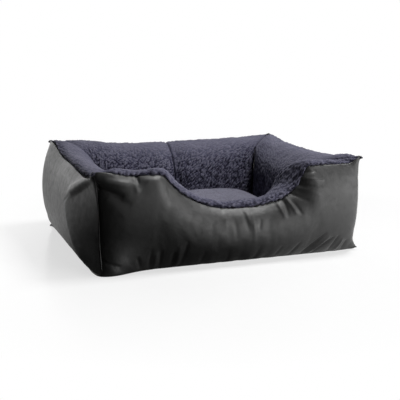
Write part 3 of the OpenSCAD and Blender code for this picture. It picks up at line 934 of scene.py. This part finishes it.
def tube(path, radii, sides, axis):
    """Points of a tube round a path that never runs along axis; radii gives each ring's radius."""
    ahead = np.gradient(path, axis=0)
    ahead /= np.linalg.norm(ahead, axis=1, keepdims=True)
    side = np.cross(ahead, axis)
    side /= np.linalg.norm(side, axis=1, keepdims=True)
    up = np.cross(ahead, side)
    angle = np.arange(sides) / sides * 2 * math.pi
    ring = np.cos(angle)[None, :, None] * side[:, None] + np.sin(angle)[None, :, None] * up[:, None]
    return path[:, None] + np.asarray(radii)[:, None, None] * ring


def joined(name, parts):
    """One mesh from several (points, faces) parts."""
    points, faces, start = [], [], 0
    for part_points, part_faces in parts:
        part_points = np.asarray(part_points).reshape(-1, 3)
        points.append(part_points)
        faces += [[index + start for index in face] for face in part_faces]
        start += len(part_points)
    points = np.concatenate(points)
    return make_mesh(name, points, faces, points[:, [0, 2]])


def stitches(low_x, high_x, y, z, length=2.6 * MM, gap=0.9 * MM):
    """A row of stitches along X on a face that looks towards +Y."""
    share = np.array([0, 0.12, 0.5, 0.88, 1.0])
    parts = []
    for start in np.arange(low_x, high_x - length, length + gap):
        path = np.zeros((5, 3))
        path[:, 0] = start + share * length
        path[:, 1] = y + 0.12 * MM * np.sin(share * math.pi)
        path[:, 2] = z + 0.15 * MM * (share - 0.5)
        points = tube(path, np.array([0.05, 0.24, 0.3, 0.24, 0.05]) * MM, 6, UP)
        ends = [list(range(6)), [24 + k for k in range(6)][::-1]]
        parts.append((points, tube_faces(5, 6) + ends))
    return parts


def strip(low, high, y, thick, seed):
    """A flat strip of cloth as a closed solid, its face towards +Y: low and high are (x, z)."""
    rows, cols = 180, 7
    x, z = np.linspace(low[0], high[0], rows), np.linspace(low[1], high[1], cols)
    grid = np.stack([*np.meshgrid(x, z, indexing="ij"), np.zeros((rows, cols))], 2)[:, :, [0, 2, 1]]
    grid[:, :, 1] = y + 0.16 * MM * lumps(grid, 22 * MM, seed)
    back = grid - (0, thick, 0)
    points = np.concatenate([grid.reshape(-1, 3), back.reshape(-1, 3)])
    face = grid_faces(rows, cols)
    size = rows * cols
    rim = [*range(cols), *[i * cols + cols - 1 for i in range(1, rows)]]
    rim += [*range(size - 2, size - cols - 1, -1), *[i * cols for i in range(rows - 2, 0, -1)]]
    sides = [[a, b, b + size, a + size] for a, b in zip(rim, rim[1:] + rim[:1])]
    return points, [*face[:, ::-1].tolist(), *(face + size).tolist(), *sides]


def build_tape(name, node, body, sides, tape_mat, thread_mat):
    """A zip tape, or both, each sewn down with one row of stitches."""
    low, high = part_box(node)
    coils_low, coils_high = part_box(node.split("_zip_")[0] + "_zip_coils")
    middle = (coils_low.z + coils_high.z) / 2
    parts, threads = [], []
    for side in sides:
        edge = [middle + side * 0.5 * MM, low.z if side < 0 else high.z]
        parts.append(strip((low.x, min(edge)), (high.x, max(edge)), high.y - 0.2 * MM, 0.6 * MM, side + 3))
        threads += stitches(low.x + 3 * MM, high.x - 3 * MM, high.y, middle + side * 9 * MM)
    obj = joined(name, parts)
    finished(obj, body, "zip_tape", tape_mat, node)
    sewn = joined(name + "_stitches", threads)
    finished(sewn, body, "zip_tape", thread_mat)


def build_coils(name, node, body, mat):
    """Two coils of nylon filament, one on each tape, whose turns mesh in the middle."""
    low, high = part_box(node)
    middle = (low.z + high.z) / 2
    pitch, wire = 1.55 * MM, 0.3 * MM
    width = (high.z - low.z - 1 * MM) / 2
    half_w, half_h = width / 2 - wire + 0.25 * MM, (high.y - low.y) / 2 - wire
    turns = int((high.x - low.x - 2 * wire) / pitch)
    t = np.arange(turns * 10 + 1) / 10
    parts = []
    for side in (-1, 1):
        phase = 2 * math.pi * t + (0 if side > 0 else math.pi)
        y = (low.y + high.y) / 2 + half_h * np.cos(phase)
        z = middle + side * (0.5 * MM + width / 2 - 0.25 * MM) + half_w * np.sin(phase)
        path = np.stack([low.x + wire + t * pitch, y, z], 1)
        points = tube(path, np.full(len(path), wire), 5, np.array([1.0, 0, 0]))
        parts.append((points, tube_faces(len(path), 5)))
    finished(joined(name, parts), body, "zip_coil", mat, node)


def build_bevelled(name, node, body, mat, width):
    """A metal part of the frame again, with its edges rounded over."""
    work = bmesh.new()
    work.from_mesh(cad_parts[node].data)
    bmesh.ops.remove_doubles(work, verts=work.verts, dist=1e-6)
    bmesh.ops.dissolve_limit(work, angle_limit=math.radians(2), verts=work.verts, edges=work.edges)
    mesh = bpy.data.meshes.new(name)
    work.to_mesh(mesh)
    work.free()
    obj = linked(name, mesh)
    bevel = obj.modifiers.new("bevel", "BEVEL")
    bevel.width = width
    bevel.segments = 3
    bevel.limit_method = "ANGLE"
    bevel.angle_limit = math.radians(35)
    obj.data.materials.clear()
    finished(obj, body, "zip_metal", mat, node)


def build_hem(mat, thread_mat):
    """The hem under the cover's zip, with its stitches. It reaches past the CAD strip, over the gaps."""
    low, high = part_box("back_hem_strip")
    body = strip((low.x, low.z - 1.2 * MM), (high.x, high.z + 3 * MM), high.y, 1.2 * MM, 6)
    finished(joined("back_hem", [body]), "bed", "coated_fabric", mat, "back_hem_strip")
    rows = stitches(low.x + 4 * MM, high.x - 4 * MM, high.y + 0.15 * MM, high.z - 2 * MM)
    finished(joined("back_hem_stitches", rows), "bed", "zip_tape", thread_mat)


# ---- materials ----


class Nodes:
    """Builds a node material: add() makes a node and sets or links its inputs by name."""

    def __init__(self, name, world=None):
        self.mat = world or bpy.data.materials.new(name)
        self.mat.use_nodes = True
        self.tree = self.mat.node_tree
        self.shader = self.tree.nodes.get("Principled BSDF")

    def add(self, kind, inputs=(), **settings):
        node = self.tree.nodes.new("ShaderNode" + kind)
        for key, value in settings.items():
            setattr(node, key, value)
        for key, value in dict(inputs).items():
            self.put(node, key, value)
        return node

    def put(self, node, key, value):
        socket = node.inputs[key]
        if isinstance(value, bpy.types.NodeSocket):
            self.tree.links.new(value, socket)
        else:
            socket.default_value = value

    def ramp(self, value, stops):
        """A colour ramp through (position, colour) stops."""
        node = self.add("ValToRGB", {"Fac": value})
        elements = node.color_ramp.elements
        while len(elements) < len(stops):
            elements.new(0.5)
        for element, (position, color) in zip(elements, stops):
            element.position = position
            element.color = (*color, 1)
        return node.outputs["Color"]

    def span(self, value, low, high, to_low, to_high):
        node = self.add("MapRange", {"Value": value, "From Min": low, "From Max": high})
        self.put(node, "To Min", to_low)
        self.put(node, "To Max", to_high)
        return node.outputs["Result"]

    def maths(self, operation, a, b):
        node = self.add("Math", operation=operation)
        self.put(node, 0, a)
        self.put(node, 1, b)
        return node.outputs[0]

    def toward(self, where, side):
        """How far a place lies along a direction."""
        return self.add("VectorMath", {0: where, 1: side}, operation="DOT_PRODUCT").outputs["Value"]

    def noise(self, where, size, detail=3.0):
        """Noise from 0 to 1 with lumps of about that size in metres."""
        node = self.add("TexNoise", {"Vector": where, "Scale": 1 / size, "Detail": detail})
        return node.outputs["Fac"]

    def bump(self, height, distance, strength=1.0, under=None):
        node = self.add("Bump", {"Height": height, "Distance": distance, "Strength": strength})
        if under is not None:
            self.put(node, "Normal", under)
        return node.outputs["Normal"]

    def sheen(self, weight, roughness, tint):
        for key, value in (("Weight", weight), ("Roughness", roughness), ("Tint", (*tint, 1))):
            self.shader.inputs["Sheen " + key].default_value = value

    def mottled(self, value, low, high, color, dark, light):
        """A colour that goes from dark to light times itself as value goes from low to high."""
        stops = [(at, tuple(by * c for c in color)) for at, by in ((low, dark), (high, light))]
        return self.ramp(value, stops)

    def finish(self, **inputs):
        """Sets or links inputs of the shader, whose names are written with underscores."""
        for key, value in inputs.items():
            self.put(self.shader, key.replace("_", " ").title().replace("Ior", "IOR"), value)
        return self.mat


def weave(nodes, where, pitch):
    """A plain weave of that pitch over UVs in metres: 0 between the threads, 1 on top of them."""
    scale = math.pi / pitch
    parts = nodes.add("SeparateXYZ", {"Vector": where})
    waves = []
    for axis in ("X", "Y"):
        phase = nodes.maths("MULTIPLY", parts.outputs[axis], scale)
        waves.append(nodes.maths("SINE", phase, 0.0))
    crossed = nodes.maths("MULTIPLY", waves[0], waves[1])
    return nodes.maths("ABSOLUTE", crossed, 0.0)


def nylon_material(name, color, rough):
    """Coated woven nylon: a fine weave, soft crumples, and a coating that varies a little."""
    m = Nodes(name)
    place = m.add("TexCoord").outputs["Object"]
    cloth = m.add("UVMap", uv_map="cloth").outputs["UV"]
    patches = m.noise(place, 0.09, 4)
    crumple = m.noise(place, 0.014, 5)
    threads = weave(m, cloth, 0.0011)
    base = m.mottled(patches, 0.3, 0.7, color, 0.82, 1.18)
    roughness = m.span(crumple, 0.3, 0.7, rough - 0.05, rough + 0.07)
    normal = m.bump(crumple, 0.0007, 0.5)
    normal = m.bump(threads, 0.00012, 0.35, normal)
    m.sheen(0.07, 0.4, (0.95, 0.97, 0.95))
    return m.finish(Base_Color=base, Roughness=roughness, Normal=normal, Specular_IOR_Level=0.5)


def plush_material(name, shaded_pit, body, lit_tip):
    """Curly plush: painted shade between the curls, a painted highlight on their tips, with a soft sheen."""
    m = Nodes(name)
    place = m.add("TexCoord").outputs["Object"]
    cloth = m.add("UVMap", uv_map="cloth").outputs["UV"]
    pile = m.add("Attribute", attribute_name="pile").outputs["Fac"]
    fibres = m.noise(cloth, 0.0022, 3)
    patches = m.noise(place, 0.06, 3)
    tone = m.maths("ADD", pile, m.span(fibres, 0.25, 0.75, -0.16, 0.16))
    tone = m.maths("ADD", tone, m.span(patches, 0.3, 0.7, -0.08, 0.08))
    # Painted shade in the pits and a painted highlight on the tips, with random tone from the fibres and
    # patches.
    base = m.ramp(tone, [(0.12, shaded_pit), (0.5, body), (0.95, lit_tip)])
    normal = m.bump(fibres, 0.0012, 0.55)
    m.sheen(0.25, 0.45, (0.62, 0.62, 0.75))
    m.shader.inputs["Specular IOR Level"].default_value = 0.15
    return m.finish(Base_Color=base, Roughness=0.92, Normal=normal)


def fibre_material(name, color):
    """White polyester fibre: soft streaks and shallow hollows."""
    m = Nodes(name)
    place = m.add("TexCoord").outputs["Object"]
    tangle = m.noise(place, 0.004, 5)
    base = m.mottled(tangle, 0.25, 0.7, color, 0.8, 1)
    return m.finish(Base_Color=base, Roughness=0.95, Normal=m.bump(tangle, 0.0015))


def tape_material(name, color):
    """Zip tape: fine ribs along the tape, with a little fuzz."""
    m = Nodes(name)
    cloth = m.add("UVMap", uv_map="cloth").outputs["UV"]
    threads = weave(m, cloth, 0.0007)
    fuzz = m.noise(cloth, 0.003, 4)
    base = m.mottled(fuzz, 0.3, 0.7, color, 0.75, 1.3)
    normal = m.bump(threads, 0.0002, 0.8)
    return m.finish(Base_Color=base, Roughness=0.85, Normal=normal, Specular_IOR_Level=0.3)


def filament_material(name, color, rough):
    """Smooth nylon filament or thread, slightly uneven in tone."""
    m = Nodes(name)
    place = m.add("TexCoord").outputs["Object"]
    patches = m.noise(place, 0.006, 3)
    base = m.mottled(patches, 0.3, 0.7, color, 0.8, 1.25)
    roughness = m.span(patches, 0.3, 0.7, rough - 0.06, rough + 0.08)
    return m.finish(Base_Color=base, Roughness=roughness, Normal=m.bump(patches, 0.0001, 0.4))


def metal_material(name):
    """Dark nickel with fine scratches, polished brighter where fingers rub it."""
    m = Nodes(name)
    place = m.add("TexCoord").outputs["Object"]
    stretched = m.add("Mapping", {"Vector": place, "Scale": (120, 900, 900)}).outputs["Vector"]
    scratches = m.add("TexNoise", {"Vector": stretched, "Scale": 1.0, "Detail": 4.0}).outputs["Fac"]
    rubbed = m.noise(place, 0.007, 3)
    base = m.ramp(rubbed, [(0.3, (0.12, 0.12, 0.125)), (0.7, (0.2, 0.2, 0.205))])
    roughness = m.span(scratches, 0.3, 0.7, 0.24, 0.42)
    normal = m.bump(scratches, 0.00004, 0.5)
    return m.finish(Base_Color=base, Roughness=roughness, Normal=normal, Metallic=1.0)


NYLON = nylon_material("coated_nylon", (0.0095, 0.0095, 0.0094), 0.5)
# The plush colours: painted shade for the pits, the body colour, and a painted highlight for the tips.
PLUSH = plush_material("curly_plush", (0.008, 0.007, 0.017), (0.05, 0.049, 0.077), (0.09, 0.088, 0.12))
# The fleece has the plush's colours made lighter: partly its own paler, smoother face, partly painted light
# from the lamp above the cushion's top.
FLEECE = plush_material("fleece", (0.085, 0.083, 0.11), (0.13, 0.128, 0.165), (0.155, 0.152, 0.19))
FIBRE = fibre_material("white_fibre", (0.8, 0.8, 0.77))
TAPE = tape_material("zip_tape_cloth", (0.02, 0.02, 0.022))
COIL = filament_material("coil_filament", (0.018, 0.018, 0.02), 0.35)
THREAD = filament_material("sewing_thread", (0.05, 0.05, 0.053), 0.55)
METAL = metal_material("dark_nickel")

# ---- camera, floor and light ----


def aim(obj, place, azimuth, elevation):
    """Puts obj at place, looking along +Y at azimuth 0 and downwards by elevation."""
    a, e = math.radians(azimuth), math.radians(elevation)
    ahead = Vector((-math.sin(a) * math.cos(e), math.cos(a) * math.cos(e), -math.sin(e)))
    obj.location = place
    obj.rotation_euler = ahead.to_track_quat("-Z", "Y").to_euler()


def area_light(name, place, target, size, power):
    """A rectangular light at place that points at target."""
    data = bpy.data.lights.new(name, "AREA")
    data.shape = "RECTANGLE"
    data.size, data.size_y = size
    data.energy = power
    obj = linked(name, data)
    obj.location = place
    obj.rotation_euler = (Vector(target) - Vector(place)).to_track_quat("-Z", "Y").to_euler()
    return obj


camera = linked("camera", bpy.data.cameras.new("camera"))
camera.data.lens = 72.3
camera.data.clip_end = 50
aim(camera, (-0.8049, -2.2230, 0.5879), -20.24, 11.32)
SCENE.camera = camera

FLOOR_REACH = 12.0
# The way, level with the floor, to the bright side of the studio: behind the bed, a little to its left.
BRIGHT_SIDE = (-0.2, 0.98, 0.0)
# The same to the bright side of the floor: behind the bed, a little to its right.
FLOOR_BRIGHT_SIDE = (0.3, 0.95, 0)
# The same to the card in front of the bed, to its right.
CARD_SIDE = (0.85, -0.53, 0)


def floor_material():
    """White card to the camera. To the bed it is dark in front, and bright behind and to the right."""
    m = Nodes("white_card")
    place = m.add("TexCoord").outputs["Object"]
    far = m.add("VectorMath", {0: place}, operation="LENGTH").outputs["Value"]
    glow = m.span(far, 0.45, 1.0, 0.65, 1.0)
    grain = m.noise(place, 0.03, 2)
    base = m.ramp(grain, [(0.3, (0.88, 0.88, 0.88)), (0.7, (0.9, 0.9, 0.9))])
    m.finish(Base_Color=base, Roughness=0.22, Specular_IOR_Level=0.35)
    light = m.add("Emission", {"Color": (1, 1, 1, 1), "Strength": 1.0})
    seen = m.add("MixShader", {0: glow, 1: m.shader.outputs[0], 2: light.outputs[0]})
    behind = m.toward(place, FLOOR_BRIGHT_SIDE)
    beside = m.toward(place, CARD_SIDE)
    level = m.maths("ADD", m.span(behind, -0.25, 0.12, 0.04, 0.95), m.span(beside, 0.2, 0.7, 0.0, 2.0))
    path = m.add("LightPath")
    matt = m.span(path.outputs["Is Diffuse Ray"], 0.0, 1.0, 1.0, 0.3)
    dim = m.add("Emission", {"Strength": m.maths("MULTIPLY", level, matt)})
    both = m.add("MixShader", {0: path.outputs["Is Camera Ray"], 1: dim.outputs[0], 2: seen.outputs[0]})
    m.tree.links.new(both.outputs[0], m.tree.nodes["Material Output"].inputs["Surface"])
    return m.mat


FLOOR_CORNERS = FLOOR_REACH * np.array([[-1, -1, 0], [1, -1, 0], [1, 1, 0], [-1, 1, 0]])
floor = make_mesh("floor", FLOOR_CORNERS, [[0, 1, 2, 3]])
floor.data.materials.append(floor_material())


def studio_world():
    """White to the camera. To the bed it is a dark room with a bright side, dimmer for matt cloth."""
    m = Nodes("studio", bpy.data.worlds.new("studio"))
    SCENE.world = m.mat
    way = m.add("TexCoord").outputs["Generated"]
    level = m.add("VectorMath", {0: way, 1: LEVEL}, operation="MULTIPLY").outputs[0]
    level = m.add("VectorMath", {0: level}, operation="NORMALIZE").outputs[0]
    side = m.toward(level, BRIGHT_SIDE)
    up = m.add("SeparateXYZ", {"Vector": way}).outputs["Z"]
    lobe = m.maths("MULTIPLY", m.span(side, 0.86, 0.98, 0.0, 1.0), m.span(up, 0.35, 0.85, 1.0, 0.0))
    path = m.add("LightPath")
    matt = m.span(path.outputs["Is Diffuse Ray"], 0.0, 1.0, 2.6, 0.35)
    strength = m.maths("ADD", m.maths("MULTIPLY", lobe, matt), 0.02)
    room = m.add("Background", {"Color": (1, 1, 1, 1), "Strength": strength}).outputs[0]
    white = m.add("Background", {"Color": (1, 1, 1, 1), "Strength": 1.0}).outputs[0]
    both = m.add("MixShader", {0: path.outputs["Is Camera Ray"], 1: room, 2: white}).outputs[0]
    m.tree.links.new(both, m.tree.nodes["World Output"].inputs["Surface"])


studio_world()
SCENE.view_settings.view_transform = "Standard"
area_light("right_card", (2.3, -2.3, 0.8), (0.3, -0.3, 0.12), (2.4, 2.0), 95)
area_light("top_box", (0.8, -0.2, 2.0), (0.1, -0.1, 0.1), (0.7, 0.6), 48)

# ---- the bed ----

build_covers(NYLON)
for lining in LININGS:
    build_lining(lining, PLUSH)
for wall in WALLS:
    build_filling(wall, FIBRE)
build_base(NYLON)
build_floor(FIBRE, PLUSH)
build_hem(NYLON, THREAD)

build_cushion_top(FLEECE)
build_cushion_base(NYLON)
build_cushion_fibre(FIBRE)
build_cushion_band(NYLON)

for side, half in ((1, "upper"), (-1, "lower")):
    build_tape(f"cover_tape_{half}", f"cover_zip_tape_{half}", "bed", [side], TAPE, THREAD)
build_tape("cushion_tapes", "cushion_zip_tapes", "cushion", [-1, 1], TAPE, THREAD)
for where, body in (("cover", "bed"), ("cushion", "cushion")):
    build_coils(f"{where}_coils", f"{where}_zip_coils", body, COIL)
    build_bevelled(f"{where}_stops", f"{where}_zip_stops", body, METAL, 0.25 * MM)
    build_bevelled(f"{where}_slider_metal", f"{where}_zip_slider", f"{where}_slider", METAL, 0.3 * MM)
build_bevelled("cover_puller_metal", "cover_zip_puller", "cover_puller", METAL, 0.25 * MM)
